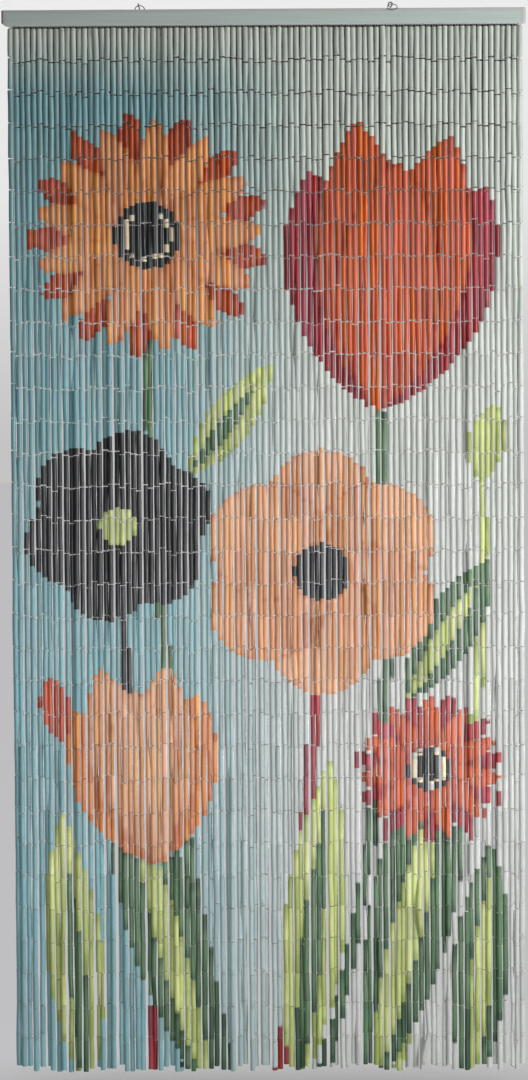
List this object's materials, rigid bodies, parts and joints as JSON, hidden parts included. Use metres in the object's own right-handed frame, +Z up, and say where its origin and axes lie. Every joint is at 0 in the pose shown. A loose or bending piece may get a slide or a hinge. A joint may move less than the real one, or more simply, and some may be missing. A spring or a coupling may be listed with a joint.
{
  "type": "bead curtain with header batten",
  "caption": "Door curtain of painted cane tubes wired end to end into strands, hung in one close row under a flat wooden header batten with screw eyes and hanging rings.",
  "frame": {"origin": "middle of the header batten's top face, where the curtain is held up", "axes": "+X along the batten to the viewer's right, -Y towards the viewer, +Z up"},
  "size_m": [1, 0.0303, 2.0531],
  "materials": {
    "batten_paint": "satin sage paint over a planed batten",
    "hanger_steel": "dull zinc-plated wire",
    "cane_paint": "hand-painted cane, matt to satin"
  },
  "bodies": {
    "root": {"header_batten": "batten_paint", "screw_eye_left": "hanger_steel", "screw_eye_right": "hanger_steel", "hang_ring_left": "hanger_steel", "hang_ring_right": "hanger_steel", "bead_strands": "cane_paint"}
  },
  "joints": []
}
